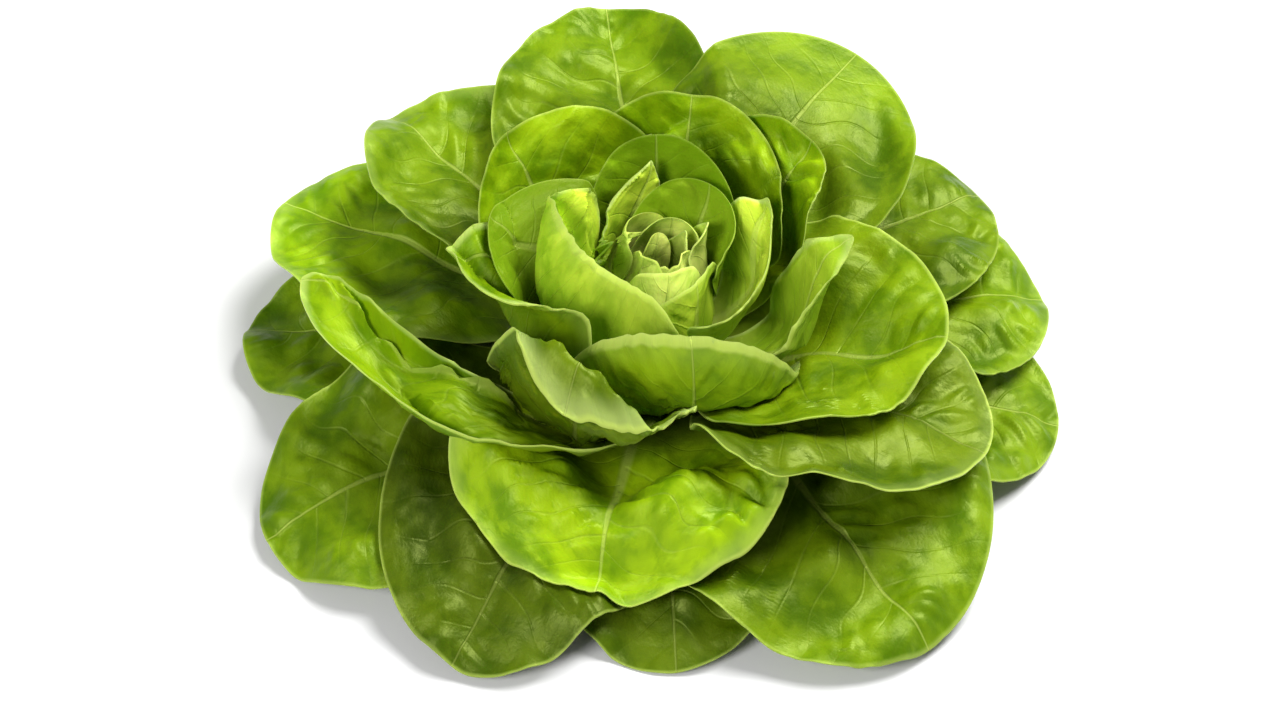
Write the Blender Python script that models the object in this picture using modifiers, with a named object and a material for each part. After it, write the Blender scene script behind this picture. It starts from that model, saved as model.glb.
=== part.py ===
"""A butterhead lettuce, picked and opened out: a rosette of cupped leaves round a short cut stem.

Every leaf is laid out in stretched polar coordinates about one centre low in the head. rho is the
distance from the centre, theta the angle down from straight up, phi the azimuth. A leaf runs outwards
from the stem as a surface theta(rho, phi). The leaves are laid one after another, lowest first, and
each keeps clear of the ones already there, so no two leaves cross. Lengths are in millimetres until
an object is made.
"""

import math

import bpy
import numpy as np

MM = 0.001
OBJECT = "butterhead_lettuce"

# The stem
CENTRE_Z = 15.0  # height of the centre that the leaves spread from
STRETCH = 1.5  # the stem's dome is this much taller than it is wide
DOME_R = 18.0
CUT_R = 14.5  # the cut face that the head stands on
STEM_SIDES = 24
HEART_R = 30.0  # within about this radius the heart leans over
HEART_Z = (42.0, 66.0)  # from none at the first height to all at the second
HEART_LEAN = (3.5, 7.5)  # this far along X and Y
SEAT = 0.3  # between a leaf's foot and the stem

# The leaves
BLADE = 0.8  # thickness of a blade
RIB = {"outer": 1.2, "middle": 1.2, "inner": 0.6, "heart": 0.3}  # what the midrib adds at the foot
RIB_HALF = 4.5
WAVES = 5.0  # waves round a leaf's edge
WAVE = {"outer": 1.2, "middle": 0.8, "inner": 0.8, "heart": 0.6}  # how far they rise and fall
GAP_AT_FOOT = 0.45  # kept between one leaf and the next
GAP = 1.3
FALL = 0.45  # how steeply a leaf may come down past the edge of a lower one
MARGIN = 4.0  # how far past that edge it starts to
STEEPEST = 6.0  # a leaf leaning more than this isn't allowed more room for it
SOFT = 2.5  # how softly it bends where it meets the room of a lower one
RHO_STEP = 0.8
PHI_STEP = math.radians(1.5)
FAR = 146.0
OPEN_SKY = 9.0  # an angle above which nothing lies

GREEN = {
    "outer": (0.075, 0.17, 0.012, 1.0),
    "middle": (0.15, 0.30, 0.022, 1.0),
    "inner": (0.29, 0.44, 0.06, 1.0),
    "heart": (0.42, 0.55, 0.12, 1.0),
}
STEM_COLOUR = (0.62, 0.66, 0.38, 1.0)

# name, azimuth, width, midrib as (radius, height) points, then what sets the leaf apart
LEAVES = [
    ("outer_leaf_01", 170, 78, [(45, 17), (90, 14), (137, 6)], dict(root=98, cup=3)),
    ("outer_leaf_02", 353, 86, [(45, 17), (90, 14), (130, 5)], dict(root=98, cup=3)),
    ("outer_leaf_03", 273, 84, [(45, 16), (80, 12), (111, 2)], dict(root=98, cup=3)),
    ("outer_leaf_04", 14, 80, [(45, 21), (90, 23), (131, 15)], dict(root=96, cup=3)),
    ("outer_leaf_05", 32, 84, [(45, 24), (90, 30), (127, 25)], dict(root=96, cup=4)),
    ("outer_leaf_06", 208, 98, [(45, 20), (85, 20), (137, 7)], dict(root=96, cup=2, tilt=-4, right=0.82)),
    ("outer_leaf_07", 241, 110, [(45, 21), (80, 22), (127, 5)], dict(root=94, cup=2, tilt=-4, left=0.75)),
    ("outer_leaf_08", 308, 126, [(45, 20), (85, 20), (133, 6)],
     dict(root=94, cup=3, tilt=2, room=0.5, left=1.15, right=0.88)),
    ("outer_leaf_09", 155, 90, [(45, 26), (90, 31), (136, 30)], dict(root=92, cup=5, tilt=2)),
    ("outer_leaf_10", 139, 78, [(40, 32), (75, 46), (117, 54)], dict(root=90, cup=8, tilt=2)),
    ("outer_leaf_11", 98, 92, [(40, 34), (80, 50), (123, 60)],
     dict(root=88, cup=8, tilt=-2, left=1.05, right=0.7)),
    ("outer_leaf_12", 57, 98, [(40, 32), (80, 46), (124, 47)],
     dict(root=86, cup=8, tilt=2, room=0.6, left=0.88)),
    ("middle_leaf_01", 259, 134, [(36, 23), (56, 29), (76, 42), (97, 14)],
     dict(root=84, cup=3, tilt=1, blunt=0.7, left=0.97, right=0.97, spread=0.85)),
    ("middle_leaf_02", 333, 104, [(40, 28), (80, 36), (113, 33)],
     dict(root=84, cup=8, tilt=-7, left=0.85, right=1.2)),
    ("middle_leaf_03", 180, 54, [(38, 28), (62, 38), (84, 45), (112, 50)],
     dict(root=82, cup=4, bend=-60, room=2.5, left=1.4, right=0.2, tilt=-3, roll=2, roll_left=2)),
    ("middle_leaf_04", 347, 120, [(36, 29), (60, 41), (92, 52)],
     dict(root=78, cup=7, tilt=-1, bend=5, room=0.3)),
    ("middle_leaf_05", 38, 88, [(32, 30), (46, 56), (60, 83)],
     dict(root=76, cup=4, right=0.6, fall=1.5)),
    ("middle_leaf_06", 79, 100, [(30, 30), (45, 56), (57, 83)],
     dict(root=74, cup=4, tilt=-3, room=0.8)),
    ("middle_leaf_07", 141, 106, [(32, 30), (46, 54), (60, 84)],
     dict(root=72, cup=3, tilt=-4, room=1.3, left=0.8, fall=1.5)),
    ("middle_leaf_08", 246, 104, [(42, 28), (61, 36), (61, 50), (58, 68), (66, 68)],
     dict(root=72, cup=-16, tilt=-15, room=1.9, left=0.76, right=0.78)),
    ("middle_leaf_09", 283, 92, [(32, 31), (50, 39), (49, 53), (44, 72)],
     dict(root=68, cup=-3, roll=2, tilt=-11, room=0.1)),
    ("middle_leaf_10", 182, 98, [(29, 29), (46, 43), (56, 58), (64, 74)],
     dict(root=64, cup=3, roll=-1, tilt=8, room=0.8, point=0.6, left=1.35, right=0.6)),
    ("inner_leaf_01", 1, 84, [(24, 32), (44, 42), (66, 58)],
     dict(root=58, cup=6, bend=30, point=0.8, tilt=-4, left=0.6, right=1.1)),
    ("inner_leaf_02", 92, 84, [(22, 34), (28, 56), (34, 84)],
     dict(root=56, cup=3, left=0.8, right=0.8, fall=1.5)),
    ("inner_leaf_03", 170, 58, [(26, 33), (43, 50), (53, 74)],
     dict(root=54, cup=3, room=0.3, right=0.75)),
    ("inner_leaf_04", 160, 100, [(23, 37), (38, 50), (39, 64), (36, 79)],
     dict(root=51, cup=13, tilt=11, bend=-15, room=1.6, point=0.8, left=2.0, right=0.42)),
    ("inner_leaf_05", 26, 60, [(20, 38), (31, 55), (36, 76)],
     dict(root=48, cup=3, bend=25, room=0.7, point=0.9, left=0.7, right=1.5)),
    ("inner_leaf_06", 97, 46, [(18, 38), (22, 56), (24, 81)],
     dict(root=44, cup=2, bend=-35, point=0.9, room=0.8, left=0.8, right=0.4, roll=-4)),
    ("inner_leaf_07", 55, 52, [(17, 38), (19, 54), (24, 75)], dict(root=40, cup=2)),
    ("inner_leaf_08", 306, 48, [(14, 40), (20, 52), (16, 63)], dict(root=36, cup=2)),
    ("heart_leaf_01", 275, 34, [(12, 42), (15, 53), (10, 64)], dict(root=33, cup=2)),
    ("heart_leaf_02", 15, 32, [(12, 42), (17, 55), (16, 70)], dict(root=31, cup=2, point=0.8)),
    ("heart_leaf_03", 140, 32, [(11, 42), (16, 55), (13, 68)], dict(root=29, cup=2, room=0.5)),
    ("heart_leaf_04", 80, 32, [(10, 42), (14, 54), (10, 66)], dict(root=27, cup=2)),
    ("heart_leaf_05", 220, 20, [(8, 42), (13, 53), (9, 65)], dict(root=24, cup=2, room=0.2)),
    ("heart_leaf_06", 320, 24, [(8, 42), (12, 52), (8, 64)], dict(root=22, cup=2)),
    ("heart_leaf_07", 40, 22, [(7, 43), (9, 54), (6, 66)], dict(root=20, cup=1, point=0.8)),
    ("heart_leaf_08", 115, 15, [(5, 42), (8, 53), (7, 63)], dict(root=17, cup=1)),
    ("heart_leaf_09", 255, 15, [(4, 42), (6, 52), (5, 61)], dict(root=14, cup=1)),
]
ROWS = {"outer": 10, "middle": 12, "inner": 11, "heart": 8}
COLUMNS = {"outer": 11, "middle": 13, "inner": 11, "heart": 7}


def smoothstep(low, high, value):
    t = np.clip((value - low) / (high - low), 0.0, 1.0)
    return t * t * (3.0 - 2.0 * t)


def soft_min(a, b, width):
    """The lower of a and b, rounded off where they meet."""
    share = np.clip(0.5 + 0.5 * (b - a) / width, 0.0, 1.0)
    return b + (a - b) * share - width * share * (1.0 - share)


def through(knots, values, at):
    """A smooth curve through the points (knots, values), read at `at`, straight beyond the last."""
    knots = np.asarray(knots, float)
    values = np.asarray(values, float)
    slope = np.gradient(values, knots)
    i = np.clip(np.searchsorted(knots, at) - 1, 0, len(knots) - 2)
    step = knots[i + 1] - knots[i]
    t = (at - knots[i]) / step
    c = np.clip(t, 0.0, 1.0)
    value = values[i] * (1 + 2 * c) * (1 - c) ** 2 + values[i + 1] * c * c * (3 - 2 * c)
    value = value + step * (slope[i] * c * (1 - c) ** 2 - slope[i + 1] * c * c * (1 - c))
    return value + (t - c) * step * slope[i + 1]


def wrapped(angle):
    return (angle + math.pi) % (2 * math.pi) - math.pi


def to_space(rho, theta, phi):
    r = rho * np.sin(theta)
    z = CENTRE_Z + STRETCH * rho * np.cos(theta)
    lean = np.exp(-(r / HEART_R) ** 2) * smoothstep(*HEART_Z, z)
    x, y = r * np.cos(phi) + HEART_LEAN[0] * lean, r * np.sin(phi) + HEART_LEAN[1] * lean
    return np.stack([x, y, z], -1)


class Leaf:
    """One leaf, in its own plan: x runs from -1 at the foot to 1 at the tip, y from side to side.

    root is the angle of its foot down from straight up, and bend turns the foot round the stem from the
    tip's azimuth. neck is the foot's share of the width, and spread the share of the length over which
    the leaf widens; blunt rounds the end and point narrows it, while left and right stretch one side.
    cup raises both sides, tilt one and lowers the other, and roll turns up the rim. fall is how steeply a
    later leaf may come down past the edge, and room what is kept free below besides the gap.
    """

    def __init__(self, name, azimuth, width, path, root=90.0, bend=0.0, neck=0.26, blunt=1.0, cup=6.0,
                 spread=0.62, tilt=0.0, roll=0.0, roll_left=0.0, point=0.0, left=1.0, right=1.0,
                 fall=FALL, room=0.0):
        self.name, self.width, self.neck, self.cup, self.tilt = name, width, neck, cup, tilt
        self.roll, self.roll_left, self.point, self.spread = roll, roll_left, point, spread
        self.left, self.right, self.fall, self.room = left, right, fall, room
        self.kind = name.split("_")[0]
        self.azimuth, self.bend = math.radians(azimuth), math.radians(bend)
        squashed = [(r, (z - CENTRE_Z) / STRETCH) for r, z in path]
        self.rhos = [DOME_R] + [math.hypot(r, q) for r, q in squashed]
        self.thetas = [math.radians(root)] + [math.atan2(r, q) for r, q in squashed]
        self.tip = self.rhos[-1]
        self.rho_table = np.linspace(DOME_R, self.tip, 240)
        theta = self.middle(self.rho_table)
        line = np.stack([self.rho_table * np.sin(theta), STRETCH * self.rho_table * np.cos(theta)], -1)
        steps = np.linalg.norm(np.diff(line, axis=0), axis=1)
        self.length_table = np.concatenate([[0.0], np.cumsum(steps)])
        self.length = self.length_table[-1]
        self.stretch_past = steps[-8:].mean() / (self.rho_table[1] - self.rho_table[0])
        self.cap = min(blunt * width / 2, 0.8 * self.length)

    def middle(self, rho):
        return through(self.rhos, self.thetas, rho)

    def gone(self, rho):
        """Length of midrib from the foot out to rho."""
        past = np.maximum(rho - self.tip, 0.0) * self.stretch_past
        return np.interp(rho, self.rho_table, self.length_table) + past

    def rho_at(self, x):
        straight = self.length - self.cap
        length = straight + x * np.where(x > 0, self.cap, straight)
        return np.interp(length, self.length_table, self.rho_table)

    def reach(self, rho):
        """Millimetres that one radian of azimuth takes at rho."""
        return rho * np.maximum(np.sin(self.middle(rho)), 0.35)

    def heading(self, rho):
        """Azimuth of the midrib at rho."""
        return self.azimuth - self.bend * (1.0 - smoothstep(0.2, 1.0, self.gone(rho) / self.length))

    def half_width(self, rho, x):
        spread = smoothstep(0.0, self.spread, self.gone(rho) / self.length)
        taper = 1.0 - self.point * np.clip(x, 0.0, 1.0) ** 1.3
        return 0.5 * self.width * (self.neck + (1.0 - self.neck) * spread) * taper

    def side(self, y):
        return np.where(y > 0, self.left, self.right)

    def plan(self, rho, phi):
        """The leaf's own x and y at points of the grid."""
        gone = self.gone(rho)
        straight = self.length - self.cap
        x = (gone - straight) / np.where(gone > straight, self.cap, straight)
        y = wrapped(phi - self.heading(rho)) * self.reach(rho) / self.half_width(rho, x)
        return x, y / self.side(y)

    def azimuth_at(self, rho, x, y):
        return self.heading(rho) + y * self.side(y) * self.half_width(rho, x) / self.reach(rho)

    def rib(self, rho, x, y):
        """What the midrib adds to the back of the blade."""
        across = y * self.half_width(rho, x) / RIB_HALF
        fading = 1.0 - smoothstep(0.0, 0.8, self.gone(rho) / self.length)
        return RIB[self.kind] * fading * np.exp(-across ** 2)

    def wanted(self, rho, x, y):
        """theta of the leaf's upper face, as it would grow with no other leaf in its way."""
        gone = self.gone(rho) / self.length
        out = smoothstep(0.0, 0.7, gone)
        edge = np.where(x > 0, np.hypot(np.maximum(x, 0.0), y), np.abs(y))
        across = np.clip(y, -1.3, 1.3)
        lift = (self.cup * across ** 2 + self.tilt * across) * out
        turn = WAVES * np.arctan2(y, x + 0.8)
        lift = lift + WAVE[self.kind] * np.sin(turn) * smoothstep(0.35, 1.0, edge) * out
        rim = np.clip((edge - 0.7) / 0.3, 0.0, 1.3) ** 2 * smoothstep(0.2, 0.6, gone)
        roll = self.roll + self.roll_left * (2.0 * smoothstep(-0.6, 0.6, across) - 1.0)
        return self.middle(rho) - (lift + roll * rim) / np.maximum(rho, 20.0)


def read(field, rho, phi):
    """A field at any points, linear between those of its grid."""
    i = np.clip((rho - DOME_R) / RHO_STEP, 0.0, field.shape[0] - 1.001)
    j = (phi % (2 * math.pi)) / PHI_STEP
    i0 = i.astype(int)
    j0 = np.floor(j).astype(int)
    a, b = i - i0, j - j0
    j0, j1 = j0 % field.shape[1], (j0 + 1) % field.shape[1]
    low = field[i0, j0] * (1 - b) + field[i0, j1] * b
    high = field[i0 + 1, j0] * (1 - b) + field[i0 + 1, j1] * b
    return low * (1 - a) + high * a


def per_mm(theta, rho):
    """The angle that 1 mm across the leaf's face takes at each point, more where the leaf leans."""
    along = np.gradient(theta, RHO_STEP, axis=0) * rho
    turning = (np.roll(theta, -1, 1) - np.roll(theta, 1, 1)) / (2 * PHI_STEP)
    across = turning / np.maximum(np.sin(theta), 0.3)
    lean = np.sqrt(1.0 + np.minimum(along ** 2 + across ** 2, STEEPEST ** 2))
    return lean * np.sqrt(np.sin(theta) ** 2 + (STRETCH * np.cos(theta)) ** 2) / STRETCH / rho


def clear_of_foot(rho):
    """0 where the leaves are packed round the stem, rising to 1 where they are free of each other."""
    return smoothstep(DOME_R, 2.5 * DOME_R, rho)


def gap(rho):
    """What one leaf keeps from the next, less near the stem."""
    return GAP_AT_FOOT + (GAP - GAP_AT_FOOT) * clear_of_foot(rho)


def lid_of(leaf, lid, rho, phi):
    """The leaf's own lid, opening out past its edge instead of following the field there."""
    x, y = leaf.plan(rho, phi)
    inward = 1.0 / np.maximum(np.hypot(np.maximum(x, 0.0), y), 1.0)
    x_in = np.clip(np.where(x > 0, x * inward, x), -1.0, 1.0)
    y_in = np.where(x > 0, y * inward, np.clip(y, -1.0, 1.0))
    rho_in = leaf.rho_at(x_in)
    phi_in = leaf.azimuth_at(rho_in, x_in, y_in)
    past = np.hypot(rho - rho_in, wrapped(phi - phi_in) * leaf.reach(rho_in))
    return read(lid, rho_in, phi_in) + leaf.fall * np.maximum(past - MARGIN, 0.0) / rho


def settle(leaves):
    """theta of each leaf's upper and lower face over the whole grid, each leaf laid on those before it."""
    phis = np.arange(round(2 * math.pi / PHI_STEP)) * PHI_STEP
    rho, phi = np.meshgrid(np.arange(DOME_R, FAR, RHO_STEP), phis, indexing="ij")
    lid = np.full(rho.shape, OPEN_SKY)
    fields = []
    for leaf in leaves:
        x, y = leaf.plan(rho, phi)
        wanted = leaf.wanted(rho, x, y)
        thick = BLADE + leaf.rib(rho, x, y)
        room = thick + leaf.room * clear_of_foot(rho)
        upper = wanted
        for _ in range(3):
            upper = soft_min(wanted, lid - room * per_mm(upper, rho), SOFT / rho)
        angle = per_mm(upper, rho)
        fields.append((upper, upper + thick * angle))
        lid = np.minimum(lid, lid_of(leaf, upper - gap(rho) * angle, rho, phi))
    return fields


def plan_grid(rows, columns):
    """Plan points of a leaf's outline and inside: straight sides to x = 0, then a round end."""
    def spread(count):
        bent = np.sin(np.linspace(-1, 1, count) * 0.3 * math.pi)
        return bent / bent[-1]

    u, v = np.meshgrid(spread(rows), spread(columns), indexing="ij")
    rounding = smoothstep(-1.0, 0.2, u)
    x = u * (1.0 - rounding * (1.0 - np.sqrt(1.0 - v * v / 2)))
    y = v * np.sqrt(1.0 - np.clip(u, 0.0, 1.0) ** 2 / 2)
    return x, y


def both_faces(leaf, fields, rows, columns):
    """Points of the leaf's upper face, then of its lower face behind them."""
    x, y = plan_grid(rows, columns)
    rho = np.maximum(leaf.rho_at(x), DOME_R + SEAT)
    phi = leaf.azimuth_at(rho, x, y)
    return np.stack([to_space(rho, read(field, rho, phi), phi) for field in fields])


def linked(name, mesh, collection, colour, roughness):
    obj = bpy.data.objects.new(name, mesh)
    collection.objects.link(obj)
    material = bpy.data.materials.new(name)
    material.use_nodes = True
    shader = material.node_tree.nodes["Principled BSDF"]
    shader.inputs["Base Color"].default_value = colour
    shader.inputs["Roughness"].default_value = roughness
    mesh.materials.append(material)
    for polygon in mesh.polygons:
        polygon.use_smooth = True
    return obj


def leaf_faces(rows, columns):
    """Triangles of a leaf: the upper face, the same triangles turned over behind, and the edge between."""
    corner = np.arange(rows * columns).reshape(rows, columns)
    a, b = corner[:-1, :-1].ravel(), corner[1:, :-1].ravel()
    c, d = corner[1:, 1:].ravel(), corner[:-1, 1:].ravel()
    top = np.concatenate([np.stack([a, b, c], -1), np.stack([a, c, d], -1)])
    under = top[:, ::-1] + rows * columns
    rim = np.concatenate([corner[:-1, 0], corner[-1, :-1], corner[:0:-1, -1], corner[0, :0:-1]])
    ahead = np.roll(rim, -1)
    edge = np.concatenate([np.stack([ahead, rim, rim + rows * columns], -1),
                           np.stack([ahead, rim + rows * columns, ahead + rows * columns], -1)])
    return np.concatenate([top, under, edge])


def build_leaf(leaf, fields, collection):
    rows, columns = ROWS[leaf.kind], COLUMNS[leaf.kind]
    points = both_faces(leaf, fields, rows, columns).reshape(-1, 3)
    mesh = bpy.data.meshes.new(leaf.name)
    mesh.from_pydata((points * MM).tolist(), [], leaf_faces(rows, columns).tolist())
    return linked(leaf.name, mesh, collection, GREEN[leaf.kind], 0.4)


def build_stem(collection):
    """The cut stem: a turned shape, flat underneath, swelling into the dome that carries the leaves."""
    profile = []
    for theta in np.radians(np.linspace(0.0, 96.0, 9)):
        profile.append((DOME_R * math.sin(theta), CENTRE_Z + STRETCH * DOME_R * math.cos(theta)))
    profile += [(CUT_R + 0.8, 8.0), (CUT_R, 4.0), (CUT_R, 1.0), (CUT_R - 0.8, 0.0), (0.0, 0.0)]
    mesh = bpy.data.meshes.new("stem")
    points = [(r * MM, 0.0, z * MM) for r, z in profile]
    mesh.from_pydata(points, [(i, i + 1) for i in range(len(points) - 1)], [])
    obj = linked("stem", mesh, collection, STEM_COLOUR, 0.5)
    turn = obj.modifiers.new("turn", "SCREW")
    turn.axis = "Z"
    turn.steps = turn.render_steps = STEM_SIDES
    turn.use_merge_vertices = True
    turn.merge_threshold = 0.0001
    turn.use_smooth_shade = True
    return obj


def main():
    for obj in list(bpy.data.objects):
        bpy.data.objects.remove(obj)
    collection = bpy.data.collections.new(OBJECT)
    bpy.context.scene.collection.children.link(collection)
    leaves = [Leaf(name, azimuth, width, path, **ways) for name, azimuth, width, path, ways in LEAVES]
    for leaf, fields in zip(leaves, settle(leaves)):
        build_leaf(leaf, fields, collection)
    build_stem(collection)


main()
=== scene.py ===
"""The looks of the butterhead lettuce: a fine blade for every leaf, with blisters, veins and colours.

The leaves are laid out as the solids are, in stretched polar coordinates about a centre low in the head:
rho is the distance from it, theta the angle down from straight up, phi the azimuth. A leaf is a surface
theta(rho, phi). The leaves are laid one after another, lowest first, and each keeps clear of those
already there. Lengths are in millimetres until an object is made.
"""

import math

import bpy
import numpy as np
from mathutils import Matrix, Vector


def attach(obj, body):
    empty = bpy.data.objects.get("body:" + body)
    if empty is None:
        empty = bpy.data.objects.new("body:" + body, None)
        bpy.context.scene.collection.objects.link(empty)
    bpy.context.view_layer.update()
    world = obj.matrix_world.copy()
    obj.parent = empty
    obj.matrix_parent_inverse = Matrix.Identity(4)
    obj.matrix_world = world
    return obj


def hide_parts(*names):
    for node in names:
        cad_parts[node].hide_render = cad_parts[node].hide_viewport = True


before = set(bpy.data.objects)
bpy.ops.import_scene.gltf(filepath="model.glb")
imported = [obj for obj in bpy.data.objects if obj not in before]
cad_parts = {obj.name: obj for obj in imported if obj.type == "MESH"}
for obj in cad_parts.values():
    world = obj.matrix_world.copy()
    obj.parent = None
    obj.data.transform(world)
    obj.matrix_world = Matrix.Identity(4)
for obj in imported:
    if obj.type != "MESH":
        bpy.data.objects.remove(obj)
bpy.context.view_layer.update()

MM = 0.001

# The stem and the heart's lean, as the solids have them
CENTRE_Z = 15.0  # height of the centre that the leaves spread from
STRETCH = 1.5  # the stem's dome is this much taller than it is wide
DOME_R = 18.0
SEAT = 0.3  # between a leaf's foot and the stem
HEART_R = 30.0  # within about this radius the heart leans over
HEART_Z = (42.0, 66.0)  # from none at the first height to all at the second
HEART_LEAN = (3.5, 7.5)  # this far along X and Y

# How leaves lie on one another
RIB = {"outer": 1.2, "middle": 1.2, "inner": 0.6, "heart": 0.3}  # what the midrib adds at the foot
RIB_HALF = 4.5
WAVES = 5.0  # waves round a leaf's edge
WAVE = {"outer": 1.2, "middle": 0.8, "inner": 0.8, "heart": 0.6}  # how far they rise and fall
GAP_AT_FOOT = 0.45  # kept between one leaf and the next
GAP = 1.3
FREE_R = 2.5 * DOME_R  # the rho from which the leaves, packed round the stem, are free of each other
FALL = 0.45  # how steeply a leaf may come down past the edge of a lower one
MARGIN = 4.0  # how far past that edge it starts to
STEEPEST = 6.0  # a leaf leaning more than this isn't allowed more room for it
SOFT = 2.5  # how softly it bends where it meets the room of a lower one
FLOOR_CLEAR = 0.3  # kept between the blades and the ground
RHO_STEP = 0.5
PHI_STEP = math.radians(0.5)
RHO_NEAR = 2  # a lean is measured over this many steps of rho either way
PHI_NEAR = 3
FAR = 146.0

# The blade
BLADE = 0.7
RIM_BLADE = 0.45  # it thins to this at the rim
ROWS = {"outer": 88, "middle": 92, "inner": 70, "heart": 44}
COLUMNS = {"outer": 82, "middle": 84, "inner": 60, "heart": 40}
FORMED = (0.12, 0.55)  # blisters and undulations grow between these shares of the length
VEIN_PITCH = {"outer": 11.0, "middle": 10.0, "inner": 8.0, "heart": 5.0}  # between secondary veins
VEIN_SWEEP = 0.6  # how much further along the leaf a vein is for each millimetre away from the midrib
VEIN_CURVE = 0.0035  # and how fast that grows
VEIN_WARP = 1.1  # how far a vein wanders
VEIN_WARP_SIZE = 26.0
STAGGER = 0.5  # the left side's veins stand this share of the pitch away from the right side's
PUFF = {"outer": 1.8, "middle": 1.8, "inner": 1.1, "heart": 0.3}  # height of the blisters between veins
STANDING_PUFF = 0.7  # no higher than this on a leaf that stands up
LEAN_LAID = 1.6  # blisters are laid with the leaf up to this lean, and raised square to its face past it
BLISTERS_ALONG = 1.1  # so many from one vein to the next
BLISTER_LENGTH = 1.25  # away from the midrib, in vein pitches
PATCH_SIZE = 45.0  # of the stretches with high and with low blisters
GROOVE = 0.75  # how much of a blister's height is gone over a vein
GROOVE_HALF = 1.5  # half the groove's width
SWELL = {"outer": 1.7, "middle": 1.6, "inner": 0.8, "heart": 0.0}  # height of the broad undulations
SWELL_SIZE = 34.0
SWELL_LEAN = 3.0  # a leaf that leans this much has none
RUFFLE = {"outer": 0.3, "middle": 0.3, "inner": 0.2, "heart": 0.0}  # height of small waves along the rim
RUFFLE_SIZE = 17.0
FOLD = {"middle_leaf_01": 8.0}  # how deep the blade dips along the midrib, where it isn't the usual
USUAL_FOLD = 1.2

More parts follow.
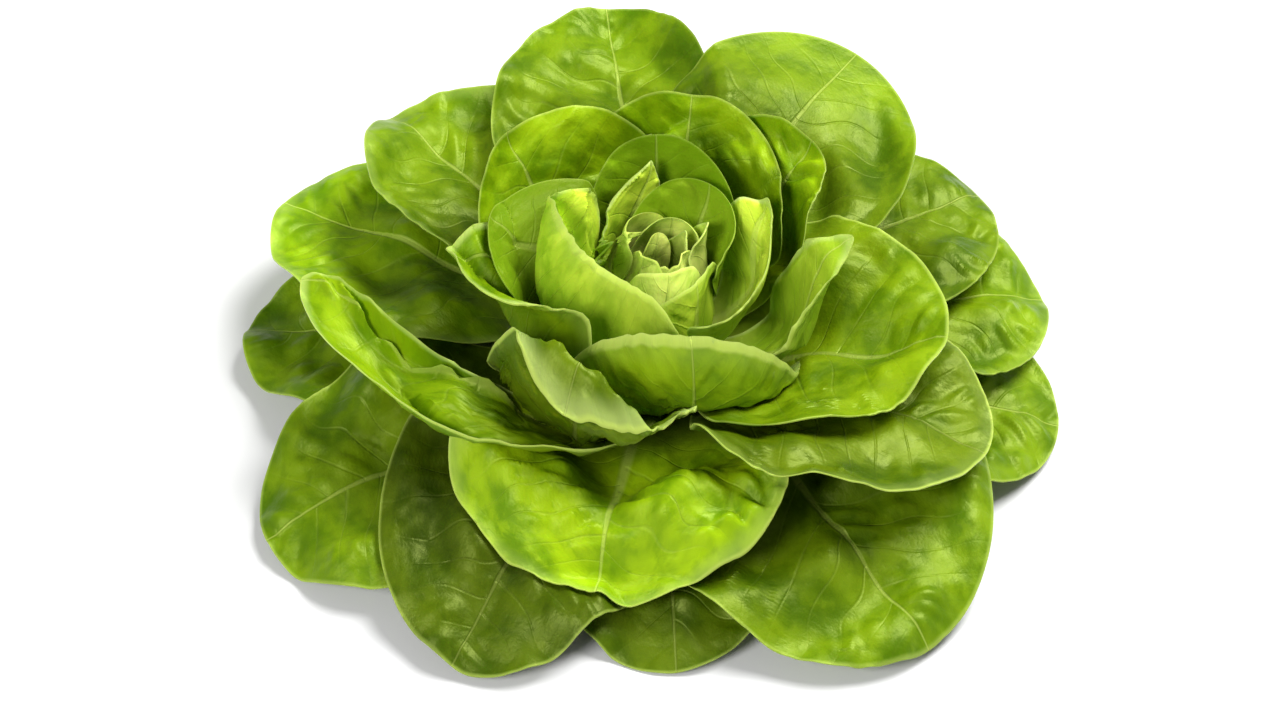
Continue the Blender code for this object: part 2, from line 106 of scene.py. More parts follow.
# name, azimuth in degrees, width, midrib as (radius, height) points, then what sets the leaf apart
LEAVES = [
    ("outer_leaf_01", 170, 78, [(45, 17), (90, 14), (137, 6)], dict(root=98, cup=3)),
    ("outer_leaf_02", 353, 86, [(45, 17), (90, 14), (130, 5)], dict(root=98, cup=3)),
    ("outer_leaf_03", 273, 84, [(45, 16), (80, 12), (111, 2)], dict(root=98, cup=3)),
    ("outer_leaf_04", 14, 80, [(45, 21), (90, 23), (131, 15)], dict(root=96, cup=3)),
    ("outer_leaf_05", 32, 84, [(45, 24), (90, 30), (127, 25)], dict(root=96, cup=4)),
    ("outer_leaf_06", 208, 98, [(45, 20), (85, 20), (137, 7)], dict(root=96, cup=2, tilt=-4, right=0.82)),
    ("outer_leaf_07", 241, 110, [(45, 21), (80, 22), (127, 5)], dict(root=94, cup=2, tilt=-4, left=0.75)),
    ("outer_leaf_08", 308, 126, [(45, 20), (85, 20), (133, 6)],
     dict(root=94, cup=3, tilt=2, room=0.5, left=1.15, right=0.88)),
    ("outer_leaf_09", 155, 90, [(45, 26), (90, 31), (136, 30)], dict(root=92, cup=5, tilt=2)),
    ("outer_leaf_10", 139, 78, [(40, 32), (75, 46), (117, 54)], dict(root=90, cup=8, tilt=2)),
    ("outer_leaf_11", 98, 92, [(40, 34), (80, 50), (123, 60)],
     dict(root=88, cup=8, tilt=-2, left=1.05, right=0.7)),
    ("outer_leaf_12", 57, 98, [(40, 32), (80, 46), (124, 47)],
     dict(root=86, cup=8, tilt=2, room=0.6, left=0.88)),
    ("middle_leaf_01", 259, 134, [(36, 23), (56, 29), (76, 42), (97, 14)],
     dict(root=84, cup=3, tilt=1, blunt=0.7, left=0.97, right=0.97, spread=0.85)),
    ("middle_leaf_02", 333, 104, [(40, 28), (80, 36), (113, 33)],
     dict(root=84, cup=8, tilt=-7, left=0.85, right=1.2)),
    ("middle_leaf_03", 180, 54, [(38, 28), (62, 38), (84, 45), (112, 50)],
     dict(root=82, cup=4, bend=-60, room=2.5, left=1.4, right=0.2, tilt=-3, roll=2, roll_left=2)),
    ("middle_leaf_04", 347, 120, [(36, 29), (60, 41), (92, 52)],
     dict(root=78, cup=7, tilt=-1, bend=5, room=0.3)),
    ("middle_leaf_05", 38, 88, [(32, 30), (46, 56), (60, 83)],
     dict(root=76, cup=4, right=0.6, fall=1.5)),
    ("middle_leaf_06", 79, 100, [(30, 30), (45, 56), (57, 83)],
     dict(root=74, cup=4, tilt=-3, room=0.8)),
    ("middle_leaf_07", 141, 106, [(32, 30), (46, 54), (60, 84)],
     dict(root=72, cup=3, tilt=-4, room=1.3, left=0.8, fall=1.5)),
    ("middle_leaf_08", 246, 104, [(42, 28), (61, 36), (61, 50), (58, 68), (66, 68)],
     dict(root=72, cup=-16, tilt=-15, room=1.9, left=0.76, right=0.78)),
    ("middle_leaf_09", 283, 92, [(32, 31), (50, 39), (49, 53), (44, 72)],
     dict(root=68, cup=-3, roll=2, tilt=-11, room=0.1)),
    ("middle_leaf_10", 182, 98, [(29, 29), (46, 43), (56, 58), (64, 74)],
     dict(root=64, cup=3, roll=-1, tilt=8, room=0.8, point=0.6, left=1.35, right=0.6)),
    ("inner_leaf_01", 1, 84, [(24, 32), (44, 42), (66, 58)],
     dict(root=58, cup=6, bend=30, point=0.8, tilt=-4, left=0.6, right=1.1)),
    ("inner_leaf_02", 92, 84, [(22, 34), (28, 56), (34, 84)],
     dict(root=56, cup=3, left=0.8, right=0.8, fall=1.5)),
    ("inner_leaf_03", 170, 58, [(26, 33), (43, 50), (53, 74)],
     dict(root=54, cup=3, room=0.3, right=0.75)),
    ("inner_leaf_04", 160, 100, [(23, 37), (38, 50), (39, 64), (36, 79)],
     dict(root=51, cup=13, tilt=11, bend=-15, room=1.6, point=0.8, left=2.0, right=0.42)),
    ("inner_leaf_05", 26, 60, [(20, 38), (31, 55), (36, 76)],
     dict(root=48, cup=3, bend=25, room=0.7, point=0.9, left=0.7, right=1.5)),
    ("inner_leaf_06", 97, 46, [(18, 38), (22, 56), (24, 81)],
     dict(root=44, cup=2, bend=-35, point=0.9, room=0.8, left=0.8, right=0.4, roll=-4)),
    ("inner_leaf_07", 55, 52, [(17, 38), (19, 54), (24, 75)], dict(root=40, cup=2)),
    ("inner_leaf_08", 306, 48, [(14, 40), (20, 52), (16, 63)], dict(root=36, cup=2)),
    ("heart_leaf_01", 275, 34, [(12, 42), (15, 53), (10, 64)], dict(root=33, cup=2)),
    ("heart_leaf_02", 15, 32, [(12, 42), (17, 55), (16, 70)], dict(root=31, cup=2, point=0.8)),
    ("heart_leaf_03", 140, 32, [(11, 42), (16, 55), (13, 68)], dict(root=29, cup=2, room=0.5)),
    ("heart_leaf_04", 80, 32, [(10, 42), (14, 54), (10, 66)], dict(root=27, cup=2)),
    ("heart_leaf_05", 220, 20, [(8, 42), (13, 53), (9, 65)], dict(root=24, cup=2, room=0.2)),
    ("heart_leaf_06", 320, 24, [(8, 42), (12, 52), (8, 64)], dict(root=22, cup=2)),
    ("heart_leaf_07", 40, 22, [(7, 43), (9, 54), (6, 66)], dict(root=20, cup=1, point=0.8)),
    ("heart_leaf_08", 115, 15, [(5, 42), (8, 53), (7, 63)], dict(root=17, cup=1)),
    ("heart_leaf_09", 255, 15, [(4, 42), (6, 52), (5, 61)], dict(root=14, cup=1)),
]

# Colours, linear
BLADE_COLOUR = {
    "outer": (0.132, 0.245, 0.001),
    "middle": (0.19, 0.34, 0.001),
    "inner": (0.33, 0.49, 0.015),
    "heart": (0.54, 0.68, 0.07),
}
BASE_COLOUR = {  # of the young base, near the stem
    "outer": (0.28, 0.40, 0.03),
    "middle": (0.30, 0.46, 0.02),
    "inner": (0.42, 0.56, 0.06),
    "heart": (0.52, 0.64, 0.12),
}
DEEP_GREEN = (0.19, 0.34, 0.004)
PALE_GREEN = (0.56, 0.70, 0.20)
VEIN_COLOUR = (0.46, 0.58, 0.10)
UNDER_COLOUR = (0.26, 0.40, 0.02)
RIM_COLOUR = (0.52, 0.66, 0.12)
LIGHT_PATCH = (1.6, 1.4, 3.0)  # times the blade's colour, for lighter patches at random and for the painted highlight on blister crests
DARK_PATCH = (0.60, 0.70, 0.6)
GLOSS_TINT = (0.85, 1.0, 0.25, 1.0)
STEM_DARK = (0.46, 0.50, 0.24)
STEM_LIGHT = (0.70, 0.72, 0.45)
FLOOR_COLOUR = (0.86, 0.86, 0.86)

# Where the colours lie: GONE stretches are shares of the way from foot to tip, and RIM stretches shares
# of the way from the midrib to the rim.
BASE_GONE = (0.38, 0.05)  # the young base's colour comes in
DEEP_SHADE_GONE = (0.5, 0.95)  # painted shade deep in the head fades out here, and a leaf gets its full brightness
DEEP_SHADE = {"outer": 0.55, "middle": 0.7, "inner": 0.8, "heart": 0.5}  # how bright it is before that, with shade painted where the head's light doesn't reach
UNDER_SHADE_GONE = (0.4, 0.9)  # the painted shade on the lower face fades out here, and it gets its full brightness
UNDER_SHADE = 0.3  # how much darker it is before that, painted shade towards the foot
LIP_RIM = (0.87, 0.98)  # the pale rim comes in, partly paler green and partly painted light where the rim faces the lamps
LINE_RIM = (0.975, 1.0)  # the light line along the edge comes in
LINE_SHARE = {"outer": 0.4, "middle": 0.7, "inner": 0.4, "heart": 0.15}  # how strong it is
MIDRIB_HALF = (3.0, 0.4)  # half the coloured midrib's width, at the foot and at the tip
MAP_SIZE = 100.0  # millimetres that one unit of a map takes
ROUGHNESS = (0.36, 0.50)  # from the glossiest patches to the dullest

# What sets a leaf's colour apart from others of its kind: shade is how bright it is, partly the leaf's
# own tone and partly painted light and shade for how the light falls on it, green its share of deep
# green, and pale the share of pale green at its rim, partly painted light.
PLAIN_LOOK = dict(shade=1.0, green=0.0, pale=0.0)
LOOKS = {
    "outer_leaf_01": dict(shade=0.9),
    "outer_leaf_03": dict(shade=0.48),
    "outer_leaf_04": dict(shade=1.1, pale=0.1),
    "outer_leaf_05": dict(shade=0.8),
    "outer_leaf_06": dict(shade=0.9),
    "outer_leaf_07": dict(shade=0.38),
    "outer_leaf_08": dict(shade=0.86),
    "outer_leaf_09": dict(shade=1.6, pale=0.15),
    "outer_leaf_10": dict(pale=0.15),
    "middle_leaf_01": dict(shade=1.25, pale=0.2),
    "middle_leaf_02": dict(shade=0.46, pale=0.1),
    "middle_leaf_03": dict(pale=0.5),
    "middle_leaf_04": dict(shade=0.75),
    "middle_leaf_07": dict(shade=0.95),
    "middle_leaf_08": dict(shade=0.42, pale=0.5),
    "middle_leaf_09": dict(shade=0.95, pale=0.5),
    "middle_leaf_10": dict(pale=0.6),
    "inner_leaf_01": dict(shade=1.1, green=0.5, pale=0.5),
    "inner_leaf_02": dict(green=0.9),
    "inner_leaf_03": dict(shade=0.8, green=0.8),
    "inner_leaf_04": dict(shade=1.6, pale=0.5),
    "inner_leaf_05": dict(shade=1.2, pale=0.9),
    "inner_leaf_06": dict(pale=0.9),
    "inner_leaf_07": dict(green=0.8),
    "inner_leaf_08": dict(pale=0.5),
    "heart_leaf_01": dict(shade=1.2, pale=0.4),
    "heart_leaf_02": dict(shade=1.3, pale=0.8),
    "heart_leaf_04": dict(pale=0.4),
    "heart_leaf_07": dict(pale=0.8),
}

# The studio, in metres: each lamp's place, size across and power
LAMPS = {
    "key": ((0.60, 0.35, 1.20), 0.8, 28.0),
    "front": ((-0.75, -0.85, 0.95), 0.6, 13.0),
}
LAMPS_AIM = (0.0, 0.0, 0.04)
SKY_STRENGTH = 0.2
FLOOR_SIZE = 8.0

# The camera, in metres
ELEVATION = math.radians(48)
DISTANCE = 0.95
TARGET = Vector((0.0, 0.0, 0.03))
LENS = 83.96  # in millimetres, for a sensor 36 mm wide
PICTURE_WIDE = 1280
SHIFT = (-17, -25)  # pixels of that picture that the frame is moved by


def smoothstep(low, high, value):
    t = np.clip((value - low) / (high - low), 0.0, 1.0)
    return t * t * (3.0 - 2.0 * t)


def soft_min(a, b, width):
    """The lower of a and b, rounded off where they meet."""
    share = np.clip(0.5 + 0.5 * (b - a) / width, 0.0, 1.0)
    return b + (a - b) * share - width * share * (1.0 - share)


def through(knots, values, at):
    """A smooth curve through the points (knots, values), read at `at`, straight beyond the last."""
    knots = np.asarray(knots, float)
    values = np.asarray(values, float)
    slope = np.gradient(values, knots)
    i = np.clip(np.searchsorted(knots, at) - 1, 0, len(knots) - 2)
    step = knots[i + 1] - knots[i]
    t = (at - knots[i]) / step
    c = np.clip(t, 0.0, 1.0)
    value = values[i] * (1 + 2 * c) * (1 - c) ** 2 + values[i + 1] * c * c * (3 - 2 * c)
    value = value + step * (slope[i] * c * (1 - c) ** 2 - slope[i + 1] * c * c * (1 - c))
    return value + (t - c) * step * slope[i + 1]


def wrapped(angle):
    """The same angle, between minus and plus half a turn."""
    return (angle + math.pi) % (2 * math.pi) - math.pi


def to_space(rho, theta, phi):
    """Points in millimetres, with the lean of the heart."""
    r = rho * np.sin(theta)
    z = CENTRE_Z + STRETCH * rho * np.cos(theta)
    lean = np.exp(-(r / HEART_R) ** 2) * smoothstep(*HEART_Z, z)
    x, y = r * np.cos(phi) + HEART_LEAN[0] * lean, r * np.sin(phi) + HEART_LEAN[1] * lean
    return np.stack([x, y, z], -1)


def noise(u, v, size, seed):
    """Smooth noise of unit spread, with features of about the given size."""
    waves = 9
    draw = np.random.default_rng(seed)
    total = 0.0
    for _ in range(waves):
        heading, phase = draw.uniform(0, 2 * math.pi, 2)
        k = 2 * math.pi * draw.uniform(0.7, 1.5) / size
        total = total + np.sin(k * (u * math.cos(heading) + v * math.sin(heading)) + phase)
    return total / math.sqrt(waves / 2)


def cell_border(u, v, seed):
    """How far each point is from the nearest border between two cells, for cells of about unit size."""
    repeat = 64
    centre = np.random.default_rng(seed).uniform(0.1, 0.9, (repeat, repeat, 2))
    iu, iv = np.floor(u).astype(int), np.floor(v).astype(int)
    near = np.full(u.shape, 9.0)
    second = near
    for du in (-1, 0, 1):
        for dv in (-1, 0, 1):
            a, b = iu + du, iv + dv
            at = centre[a % repeat, b % repeat]
            d = np.hypot(a + at[..., 0] - u, b + at[..., 1] - v)
            second = np.minimum(second, np.maximum(near, d))
            near = np.minimum(near, d)
    return second - near


class Leaf:
    """One leaf, in its own plan: x runs from -1 at the foot to 1 at the tip, y from side to side.

    root is the angle of its foot down from straight up, and bend turns the foot round the stem from the
    tip's azimuth. neck is the foot's share of the width, and spread the share of the length over which
    the leaf widens; blunt rounds the end and point narrows it, while left and right stretch one side.
    cup raises both sides, tilt one and lowers the other, and roll turns up the rim. fall is how steeply a
    later leaf may come down past the edge, and room what is kept free below besides the gap.
    """

    def __init__(self, name, azimuth, width, path, root=90.0, bend=0.0, neck=0.26, blunt=1.0, cup=6.0,
                 spread=0.62, tilt=0.0, roll=0.0, roll_left=0.0, point=0.0, left=1.0, right=1.0,
                 fall=FALL, room=0.0):
        self.name, self.width, self.neck, self.cup, self.tilt = name, width, neck, cup, tilt
        self.roll, self.roll_left, self.point, self.spread = roll, roll_left, point, spread
        self.left, self.right, self.fall, self.room = left, right, fall, room
        self.kind = name.split("_")[0]
        self.seed = sum(ord(c) * (i + 3) for i, c in enumerate(name))  # each leaf has its own noise
        self.pitch = VEIN_PITCH[self.kind]
        self.azimuth, self.bend = math.radians(azimuth), math.radians(bend)
        squashed = [(r, (z - CENTRE_Z) / STRETCH) for r, z in path]
        self.rhos = [DOME_R] + [math.hypot(r, q) for r, q in squashed]
        self.thetas = [math.radians(root)] + [math.atan2(r, q) for r, q in squashed]
        self.tip = self.rhos[-1]
        table_size, near_tip = 240, 8
        self.rho_table = np.linspace(DOME_R, self.tip, table_size)
        theta = self.middle(self.rho_table)
        line = np.stack([self.rho_table * np.sin(theta), STRETCH * self.rho_table * np.cos(theta)], -1)
        steps = np.linalg.norm(np.diff(line, axis=0), axis=1)
        self.length_table = np.concatenate([[0.0], np.cumsum(steps)])
        self.length = self.length_table[-1]
        self.stretch_past = steps[-near_tip:].mean() / (self.rho_table[1] - self.rho_table[0])
        self.cap = min(blunt * width / 2, 0.8 * self.length)

    def middle(self, rho):
        """theta of the midrib at rho."""
        return through(self.rhos, self.thetas, rho)

    def gone(self, rho):
        """Length of midrib from the foot out to rho."""
        past = np.maximum(rho - self.tip, 0.0) * self.stretch_past
        return np.interp(rho, self.rho_table, self.length_table) + past

    def rho_at(self, x):
        """rho at the leaf's own x. The sides run straight up to x = 0, and the end is round past it."""
        straight = self.length - self.cap
        length = straight + x * np.where(x > 0, self.cap, straight)
        return np.interp(length, self.length_table, self.rho_table)

    def reach(self, rho):
        """Millimetres that one radian of azimuth takes at rho."""
        return rho * np.maximum(np.sin(self.middle(rho)), 0.35)

    def heading(self, rho):
        """Azimuth of the midrib at rho."""
        return self.azimuth - self.bend * (1.0 - smoothstep(0.2, 1.0, self.gone(rho) / self.length))

    def half_width(self, rho, x):
        """Half the leaf's width at rho, before either side is stretched."""
        spread = smoothstep(0.0, self.spread, self.gone(rho) / self.length)
        taper = 1.0 - self.point * np.clip(x, 0.0, 1.0) ** 1.3
        return 0.5 * self.width * (self.neck + (1.0 - self.neck) * spread) * taper

    def side(self, y):
        """How much wider the leaf is than usual on y's side."""
        return np.where(y > 0, self.left, self.right)

    def plan(self, rho, phi):
        """The leaf's own x and y at points of the grid."""
        gone = self.gone(rho)
        straight = self.length - self.cap
        x = (gone - straight) / np.where(gone > straight, self.cap, straight)
        y = wrapped(phi - self.heading(rho)) * self.reach(rho) / self.half_width(rho, x)
        return x, y / self.side(y)

    def azimuth_at(self, rho, x, y):
        """phi at the leaf's own x and y."""
        return self.heading(rho) + y * self.side(y) * self.half_width(rho, x) / self.reach(rho)

    def across(self, rho, x, y):
        """Millimetres away from the midrib, positive to the left."""
        return y * self.side(y) * self.half_width(rho, x)

    def rib(self, rho, x, y):
        """What the midrib adds to the back of the blade."""
        fading = 1.0 - smoothstep(0.0, 0.8, self.gone(rho) / self.length)
        return RIB[self.kind] * fading * np.exp(-(self.across(rho, x, y) / RIB_HALF) ** 2)

    def edge(self, x, y):
        """0 along the midrib and 1 at the rim."""
        return np.where(x > 0, np.hypot(np.maximum(x, 0.0), y), np.abs(y))

    def wanted(self, rho, x, y):
        """theta of the leaf's upper face, as it would grow with no other leaf in its way."""
        gone = self.gone(rho) / self.length
        out = smoothstep(0.0, 0.7, gone)
        edge = self.edge(x, y)
        across = np.clip(y, -1.3, 1.3)
        lift = (self.cup * across ** 2 + self.tilt * across) * out
        turn = WAVES * np.arctan2(y, x + 0.8)
        lift = lift + WAVE[self.kind] * np.sin(turn) * smoothstep(0.35, 1.0, edge) * out
        rim = np.clip((edge - 0.7) / 0.3, 0.0, 1.3) ** 2 * smoothstep(0.2, 0.6, gone)
        roll = self.roll + self.roll_left * (2.0 * smoothstep(-0.6, 0.6, across) - 1.0)
        return self.middle(rho) - (lift + roll * rim) / np.maximum(rho, 20.0)

    def vein_number(self, along, aside):
        """Rises by 1 from each secondary vein to the next: they leave the midrib and curve to the tip."""
        warp = noise(along, aside, VEIN_WARP_SIZE, self.seed) * VEIN_WARP
        return (along - VEIN_SWEEP * np.abs(aside) - VEIN_CURVE * aside ** 2 + warp) / self.pitch

    def formed(self, along):
        """0 at the plain foot, rising to 1 where the blisters and undulations are in full."""
        return smoothstep(*FORMED, along / self.length)

    def blisters(self, rho, x, y):
        """Height of the blade's blisters, which stand between its veins."""
        along, aside = self.gone(rho), self.across(rho, x, y)
        on_left = aside > 0
        number = self.vein_number(along, aside)
        off_middle = np.abs((number + STAGGER * on_left) % 1.0 - 0.5) * self.pitch
        from_vein = 0.5 * self.pitch - off_middle
        groove = 1.0 - GROOVE * np.exp(-(from_vein / GROOVE_HALF) ** 2)
        other_side = 20.0 * on_left  # so many cells on, the left side isn't a mirrored right side
        cells_out = np.abs(aside) / (BLISTER_LENGTH * self.pitch) + other_side
        border = cell_border(number * BLISTERS_ALONG, cells_out, self.seed)
        puff = smoothstep(0.0, 0.8, border) * groove
        patchy = 0.75 + 0.35 * np.clip(noise(along, aside, PATCH_SIZE, self.seed + 1), -1.2, 1.2)
        at_rim = 1.0 - 0.6 * smoothstep(0.86, 1.0, self.edge(x, y))
        return PUFF[self.kind] * puff * patchy * at_rim * self.formed(along)

    def swell(self, rho, x, y):
        """Height of the undulations and the ruffled rim, less the dip along the midrib."""
        along, aside = self.gone(rho), self.across(rho, x, y)
        height = SWELL[self.kind] * noise(along, aside, SWELL_SIZE, self.seed + 2)
        near_rim = smoothstep(0.75, 1.0, self.edge(x, y))
        ruffle = RUFFLE[self.kind] * noise(along, aside, RUFFLE_SIZE, self.seed + 3) * near_rim
        fold = FOLD.get(self.name, USUAL_FOLD)
        fold_half = 4.0 + 1.2 * fold  # a deeper fold is a wider one
        dip = fold * np.exp(-(aside / fold_half) ** 2)
        return (height + ruffle - dip) * self.formed(along)


def read(field, rho, phi):
    """A field at any points, linear between those of its grid."""
    i = np.clip((rho - DOME_R) / RHO_STEP, 0.0, field.shape[0] - 1.001)
    j = (phi % (2 * math.pi)) / PHI_STEP
    i0 = i.astype(int)
    j0 = np.floor(j).astype(int)
    a, b = i - i0, j - j0
    j0, j1 = j0 % field.shape[1], (j0 + 1) % field.shape[1]
    low = field[i0, j0] * (1 - b) + field[i0, j1] * b
    high = field[i0 + 1, j0] * (1 - b) + field[i0 + 1, j1] * b
    return low * (1 - a) + high * a


def leaning(theta, rho):
    """1 where the leaf spreads out, and more where it leans towards the axis or to one side."""
    ahead, behind = np.roll(theta, -RHO_NEAR, 0), np.roll(theta, RHO_NEAR, 0)
    ahead[-RHO_NEAR:], behind[:RHO_NEAR] = theta[-1], theta[0]
    along = (ahead - behind) / (2 * RHO_NEAR * RHO_STEP) * rho
    turning = (np.roll(theta, -PHI_NEAR, 1) - np.roll(theta, PHI_NEAR, 1)) / (2 * PHI_NEAR * PHI_STEP)
    across = turning / np.maximum(np.sin(theta), 0.3)
    return np.sqrt(1.0 + np.minimum(along ** 2 + across ** 2, STEEPEST ** 2))


def per_mm(theta, rho, steepest=STEEPEST):
    """The angle that 1 mm across the leaf's face takes at each point, more where the leaf leans."""
    lean = np.minimum(leaning(theta, rho), steepest)
    return lean * np.sqrt(np.sin(theta) ** 2 + (STRETCH * np.cos(theta)) ** 2) / STRETCH / rho


def clear_of_foot(rho):
    """0 where the leaves are packed round the stem, rising to 1 where they are free of each other."""
    return smoothstep(DOME_R, FREE_R, rho)


def gap(rho):
    """What one leaf keeps from the next, less near the stem."""
    return GAP_AT_FOOT + (GAP - GAP_AT_FOOT) * clear_of_foot(rho)


def lid_of(leaf, lid, rho, phi):
    """The leaf's own lid, opening out past its edge instead of following the field there."""
    x, y = leaf.plan(rho, phi)
    inward = 1.0 / np.maximum(np.hypot(np.maximum(x, 0.0), y), 1.0)
    x_in = np.clip(np.where(x > 0, x * inward, x), -1.0, 1.0)
    y_in = np.where(x > 0, y * inward, np.clip(y, -1.0, 1.0))
    rho_in = leaf.rho_at(x_in)
    phi_in = leaf.azimuth_at(rho_in, x_in, y_in)
    past = np.hypot(rho - rho_in, wrapped(phi - phi_in) * leaf.reach(rho_in))
    return read(lid, rho_in, phi_in) + leaf.fall * np.maximum(past - MARGIN, 0.0) / rho


def settle(leaves):
    """Each leaf laid on those before it, over the whole grid.

    The lid is the largest theta that a leaf's underside may have: at first the ground's, then that of the
    leaves already laid. What is given for each leaf is theta of its upper and lower face, and the share
    of its blisters that theta holds. A leaf that stands up gets the rest of them square to its face.
    """
    phis = np.arange(round(2 * math.pi / PHI_STEP)) * PHI_STEP
    rho, phi = np.meshgrid(np.arange(DOME_R, FAR, RHO_STEP), phis, indexing="ij")
    lid = np.arccos(-(CENTRE_Z - FLOOR_CLEAR) / (STRETCH * rho))
    fields = []
    for leaf in leaves:
        x, y = leaf.plan(rho, phi)
        smooth = leaf.wanted(rho, x, y)
        lean = leaning(smooth, rho)
        laid = np.minimum(lean, LEAN_LAID) / lean
        height = leaf.swell(rho, x, y) * smoothstep(SWELL_LEAN, 1.0, lean) + leaf.blisters(rho, x, y)
        wanted = smooth - height * per_mm(smooth, rho, LEAN_LAID)
        thin = smoothstep(0.8, 1.0, leaf.edge(x, y))
        thick = BLADE + (RIM_BLADE - BLADE) * thin + leaf.rib(rho, x, y)
        room = thick + leaf.room * clear_of_foot(rho)
        upper = wanted
        for _ in range(3):  # the room depends on how the leaf comes to lean
            upper = soft_min(wanted, lid - room * per_mm(upper, rho), SOFT / rho)
        angle = per_mm(upper, rho)
        fields.append((upper, upper + thick * angle, laid))
        lid = np.minimum(lid, lid_of(leaf, upper + (thick - BLADE - gap(rho)) * angle, rho, phi))
    return fields


def plan_grid(rows, columns):
    """Plan points of a leaf's outline and inside: straight sides to x = 0, then a round end."""
    def spread(count):
        """From -1 to 1, closer together towards both ends."""
        bent = np.sin(np.linspace(-1, 1, count) * 0.3 * math.pi)
        return bent / bent[-1]

    u, v = np.meshgrid(spread(rows), spread(columns), indexing="ij")
    rounding = smoothstep(-1.0, 0.2, u)
    x = u * (1.0 - rounding * (1.0 - np.sqrt(1.0 - v * v / 2)))
    y = v * np.sqrt(1.0 - np.clip(u, 0.0, 1.0) ** 2 / 2)
    return x, y


def square_to(points):
    """The direction square to a grid of points, out of the leaf's upper face."""
    out = np.cross(np.gradient(points, axis=0), np.gradient(points, axis=1))
    return out / np.maximum(np.linalg.norm(out, axis=-1, keepdims=True), 1e-9)


def leaf_faces(rows, columns):
    """Triangles of a leaf: the upper face, the same ones turned over behind, and the edge between."""
    corner = np.arange(rows * columns).reshape(rows, columns)
    a, b = corner[:-1, :-1].ravel(), corner[1:, :-1].ravel()
    c, d = corner[1:, 1:].ravel(), corner[:-1, 1:].ravel()
    top = np.concatenate([np.stack([a, b, c], -1), np.stack([a, c, d], -1)])
    one_face = rows * columns
    under = top[:, ::-1] + one_face
    rim = np.concatenate([corner[:-1, 0], corner[-1, :-1], corner[:0:-1, -1], corner[0, :0:-1]])
    ahead = np.roll(rim, -1)
    edge = np.concatenate([np.stack([ahead, rim, rim + one_face], -1),
                           np.stack([ahead, rim + one_face, ahead + one_face], -1)])
    return np.concatenate([top, under, edge])


def blade_points(leaf, fields, rho, phi, blisters):
    """Points of the upper face, then of the lower face behind them."""
    upper, lower, laid = (read(field, rho, phi) for field in fields)
    points = np.stack([to_space(rho, upper, phi), to_space(rho, lower, phi)])
    height = np.minimum(blisters, STANDING_PUFF) * (1.0 - laid)
    return (points + height[..., None] * square_to(points[0])).reshape(-1, 3)


def add_map(mesh, name, values):
    mesh.uv_layers.new(name=name).data.foreach_set("uv", values.astype(np.float32).ravel())


def add_maps(mesh, leaf, corners, along, aside):
    """The leaf's flat plan, and a map whose first axis counts its veins and whose second is aside."""
    add_map(mesh, "plan", np.stack([along, aside], -1)[corners] / MAP_SIZE)
    veins = np.stack([leaf.vein_number(along, aside), aside / MAP_SIZE], -1)[corners]
    on_left = np.repeat(aside[corners].reshape(-1, 3).mean(axis=1) > 0, 3)
    veins[:, 0] += STAGGER * on_left
    add_map(mesh, "veins", veins)


def add_values(mesh, name, values):
    mesh.attributes.new(name, "FLOAT", "POINT").data.foreach_set("value", values.astype(np.float32))


def build_leaf(leaf, fields, material):
    rows, columns = ROWS[leaf.kind], COLUMNS[leaf.kind]
    one_face = rows * columns
    x, y = plan_grid(rows, columns)
    rho = np.maximum(leaf.rho_at(x), DOME_R + SEAT)
    phi = leaf.azimuth_at(rho, x, y)
    blisters = leaf.blisters(rho, x, y)
    points = blade_points(leaf, fields, rho, phi, blisters)
    faces = leaf_faces(rows, columns)
    mesh = bpy.data.meshes.new(leaf.name + "_blade")
    mesh.from_pydata((points * MM).tolist(), [], faces.tolist())
    mesh.shade_smooth()
    mesh.set_sharp_from_angle(angle=math.radians(60))
    mesh.materials.append(material)

    along, aside = leaf.gone(rho).ravel(), leaf.across(rho, x, y).ravel()
    add_maps(mesh, leaf, faces.ravel() % one_face, along, aside)
    add_values(mesh, "rim", np.tile(leaf.edge(x, y).ravel(), 2))
    add_values(mesh, "gone", np.tile(along / leaf.length, 2))
    add_values(mesh, "puff", np.tile((blisters / PUFF[leaf.kind]).ravel(), 2))
    add_values(mesh, "under", np.repeat([0.0, 1.0], one_face))
    # each leaf's look; its shade value is partly its own tone and partly painted light and shade
    for name, value in {**PLAIN_LOOK, **LOOKS.get(leaf.name, {})}.items():
        add_values(mesh, name, np.full(2 * one_face, value))

    obj = bpy.data.objects.new(leaf.name + "_blade", mesh)
    bpy.context.scene.collection.objects.link(obj)
    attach(obj, "root")
    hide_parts(leaf.name)


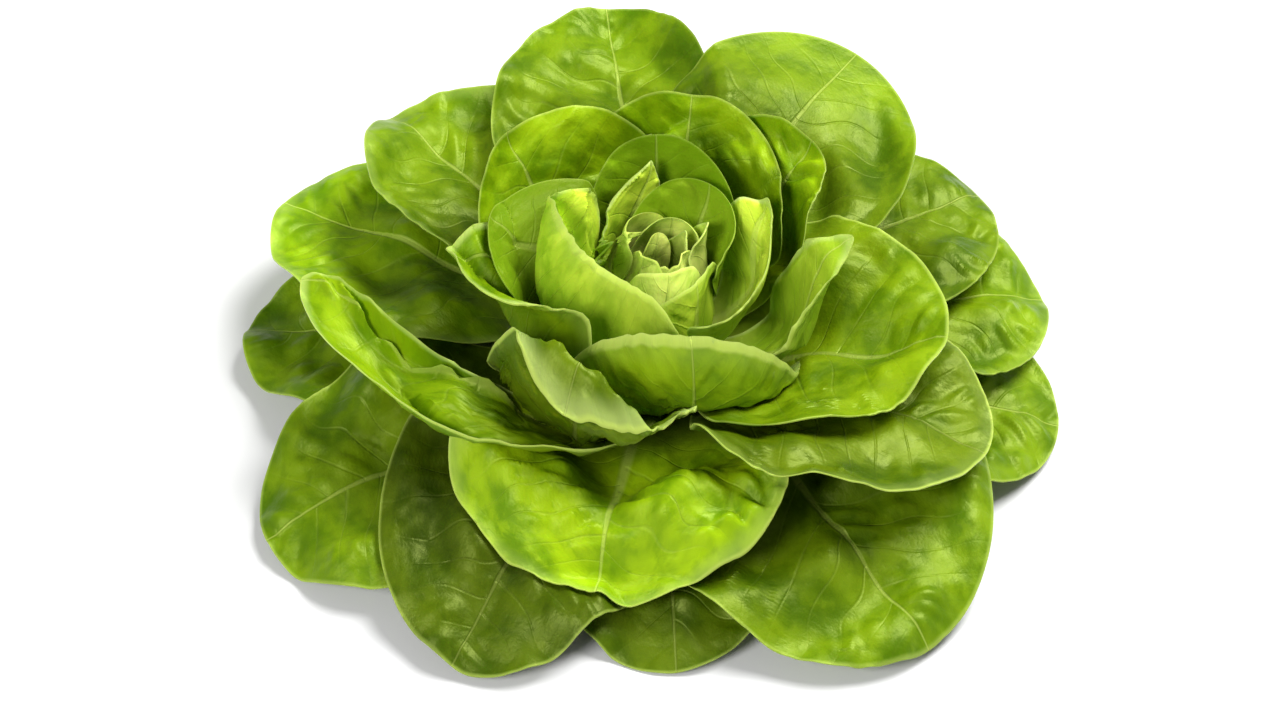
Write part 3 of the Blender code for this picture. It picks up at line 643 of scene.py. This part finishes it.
class Graph:
    """A material's nodes, made by short calls. A value is a number, a colour or another node's socket."""

    def __init__(self, name):
        self.material = bpy.data.materials.new(name)
        self.material.use_nodes = True
        self.tree = self.material.node_tree
        self.shader = self.tree.nodes["Principled BSDF"]

    def put(self, socket, value):
        if isinstance(value, bpy.types.NodeSocket):
            self.tree.links.new(value, socket)
        elif isinstance(value, tuple) and len(value) == 3 and socket.type == "RGBA":
            socket.default_value = (*value, 1.0)
        else:
            socket.default_value = value

    def set(self, **values):
        """Sets the shader's own inputs, each by its name in small letters."""
        for name, value in values.items():
            self.put(self.shader.inputs[name.replace("_", " ").title().replace("Ior", "IOR")], value)

    def node(self, kind, inputs=(), out=0, **settings):
        """Makes a node, fills its inputs and gives one of its outputs."""
        made = self.tree.nodes.new("ShaderNode" + kind)
        for name, value in settings.items():
            setattr(made, name, value)
        for i, value in dict(inputs).items():
            self.put(made.inputs[i], value)
        return made.outputs[out]

    def math(self, operation, a, b=0.0):
        return self.node("Math", {0: a, 1: b}, operation=operation)

    def times(self, a, b):
        return self.math("MULTIPLY", a, b)

    def attribute(self, name):
        return self.node("Attribute", out="Fac", attribute_name=name)

    def step(self, value, low, high, start=0.0, end=1.0):
        """Goes smoothly from start to end as value goes from low to high."""
        inputs = {0: value, 1: low, 2: high, 3: start, 4: end}
        return self.node("MapRange", inputs, interpolation_type="SMOOTHSTEP")

    def mix(self, share, a, b):
        return self.node("Mix", {0: share, 6: a, 7: b}, out=2, data_type="RGBA")


def patch_colour(colour, factors):
    return tuple(min(1.0, channel * factor) for channel, factor in zip(colour, factors))


def leaf_veins(g, gone, rim):
    """Where the midrib is, which narrows to the tip, and the secondary veins, which fade near the rim."""
    number = g.node("SeparateXYZ", {0: g.node("UVMap", uv_map="veins")})
    aside = g.math("ABSOLUTE", number.node.outputs["Y"])
    half = g.step(gone, 0.0, 1.0, *(size / MAP_SIZE for size in MIDRIB_HALF))
    midrib = g.step(g.math("DIVIDE", aside, half), 0.35, 1.0, 1.0, 0.0)
    off_middle = g.math("ABSOLUTE", g.math("SUBTRACT", g.math("FRACT", number), 0.5))
    secondary = g.step(off_middle, 0.44, 0.5)
    secondary = g.times(secondary, g.step(rim, 0.5, 0.95, 1.0, 0.15))
    secondary = g.times(secondary, g.step(gone, 0.15, 0.4))
    return midrib, secondary


def tone_and_painted_shade(g, kind, gone, under):
    """Painted shade: a leaf is darker deep inside the head, where little light reaches, and its lower
    face darker still. The shade value brings each leaf's own tone and its painted light and shade.
    """
    bright = g.times(g.attribute("shade"), g.step(gone, *DEEP_SHADE_GONE, DEEP_SHADE[kind], 1.0))
    # painted shade on the lower face, deepest towards the foot
    behind = g.times(under, g.step(gone, *UNDER_SHADE_GONE, UNDER_SHADE, 0.0))
    return g.times(bright, g.math("SUBTRACT", 1.0, behind))


def leaf_material(kind):
    g = Graph(kind + "_leaf")
    plan = g.node("UVMap", uv_map="plan")
    gone, rim, under = g.attribute("gone"), g.attribute("rim"), g.attribute("under")
    midrib, secondary = leaf_veins(g, gone, rim)
    mottle = g.node("TexNoise", {"Vector": plan, "Scale": 4.0, "Detail": 3.0, "Roughness": 0.6})
    patches = g.node("TexNoise", {"Vector": plan, "Scale": 14.0, "Detail": 4.0, "Roughness": 0.6})

    light = patch_colour(BLADE_COLOUR[kind], LIGHT_PATCH)
    dark = patch_colour(BLADE_COLOUR[kind], DARK_PATCH)
    colour = g.mix(g.step(mottle, 0.35, 0.65), dark, light)
    layers = [  # where each lies, how strong it is, and its colour
        (g.step(patches, 0.48, 0.7), 0.5, light),
        (g.step(patches, 0.5, 0.3), 0.5, dark),
        # painted highlight: the blister crests are lighter, as if lit
        (g.step(g.attribute("puff"), 0.25, 1.0), 0.3, light),
        (g.attribute("green"), 1.0, DEEP_GREEN),
        (g.step(gone, *BASE_GONE), 1.0, BASE_COLOUR[kind]),
        (secondary, 0.1, VEIN_COLOUR),
        (midrib, 0.5, VEIN_COLOUR),
        (under, 0.15, UNDER_COLOUR),
    ]
    for place, strength, layer in layers:
        colour = g.mix(g.times(place, strength), colour, layer)
    # each leaf's tone and painted light and shade, with painted shade deep in the head and on the lower
    # face
    colour = g.node("HueSaturation", {"Value": tone_and_painted_shade(g, kind, gone, under), "Color": colour})
    # pale rim on the upper face, partly paler green and partly painted light where the rim faces the
    # lamps
    lip = g.times(g.step(rim, *LIP_RIM), g.step(under, 0.0, 1.0, 1.0, 0.15))
    colour = g.mix(g.times(lip, g.attribute("pale")), colour, PALE_GREEN)
    colour = g.mix(g.step(rim, *LINE_RIM, 0.0, LINE_SHARE[kind]), colour, RIM_COLOUR)

    # The veins are sunk in the upper face and raised on the lower one.
    veins = g.math("ADD", g.times(secondary, 0.6), midrib)
    relief = g.math("ADD", patches, g.times(veins, g.step(under, 0.0, 1.0, -0.5, 0.8)))
    bump = g.node("Bump", {"Strength": 0.5, "Distance": 0.0012, "Height": relief})
    g.set(base_color=colour, roughness=g.step(patches, 0.3, 0.7, *ROUGHNESS), normal=bump)
    g.set(specular_ior_level=0.45, specular_tint=GLOSS_TINT)
    g.set(subsurface_weight=0.12, subsurface_radius=(0.5, 1.0, 0.15), subsurface_scale=0.002)
    return g.material


def stem_material():
    g = Graph("stem")
    place = g.node("TexCoord", out="Object")
    grain = g.node("TexNoise", {"Vector": place, "Scale": 220.0, "Detail": 5.0})
    g.set(base_color=g.mix(g.step(grain, 0.35, 0.65), STEM_DARK, STEM_LIGHT), roughness=0.5)
    g.set(normal=g.node("Bump", {"Strength": 0.3, "Distance": 0.0004, "Height": grain}))
    return g.material


def floor_material():
    g = Graph("floor")
    g.set(base_color=FLOOR_COLOUR, roughness=0.9)
    return g.material


def build_floor():
    bpy.ops.mesh.primitive_plane_add(size=FLOOR_SIZE)
    floor = bpy.context.object
    floor.name = "floor"
    floor.data.materials.append(floor_material())


def place_and_aim(obj, place, aim):
    """Puts a lamp or camera at its place, turns it to look at aim and adds it to the scene."""
    obj.location = place
    obj.rotation_euler = (Vector(aim) - Vector(place)).to_track_quat("-Z", "Y").to_euler()
    bpy.context.scene.collection.objects.link(obj)


def build_lamp(name, place, size, power):
    lamp = bpy.data.lights.new(name, "AREA")
    lamp.shape = "DISK"
    lamp.size = size
    lamp.energy = power
    place_and_aim(bpy.data.objects.new(name, lamp), place, LAMPS_AIM)


def build_studio():
    for name, (place, size, power) in LAMPS.items():
        build_lamp(name, place, size, power)
    world = bpy.data.worlds.new("studio")
    bpy.context.scene.world = world
    world.use_nodes = True
    sky = world.node_tree.nodes["Background"]
    sky.inputs["Color"].default_value = (1.0, 1.0, 1.0, 1.0)
    sky.inputs["Strength"].default_value = SKY_STRENGTH
    bpy.context.scene.view_settings.view_transform = "Standard"


def build_camera():
    back = Vector((0.0, -math.cos(ELEVATION), math.sin(ELEVATION)))
    camera = bpy.data.cameras.new("camera")
    camera.lens = LENS
    camera.sensor_width = 36.0
    camera.shift_x = SHIFT[0] / PICTURE_WIDE
    camera.shift_y = SHIFT[1] / PICTURE_WIDE
    obj = bpy.data.objects.new("camera", camera)
    place_and_aim(obj, TARGET + back * DISTANCE, TARGET)
    bpy.context.scene.camera = obj


def main():
    build_camera()
    build_studio()
    build_floor()
    materials = {kind: leaf_material(kind) for kind in BLADE_COLOUR}
    leaves = [Leaf(name, azimuth, width, path, **ways) for name, azimuth, width, path, ways in LEAVES]
    for leaf, fields in zip(leaves, settle(leaves)):
        build_leaf(leaf, fields, materials[leaf.kind])
    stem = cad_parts["stem"]
    stem.data.materials.clear()
    stem.data.materials.append(stem_material())


main()
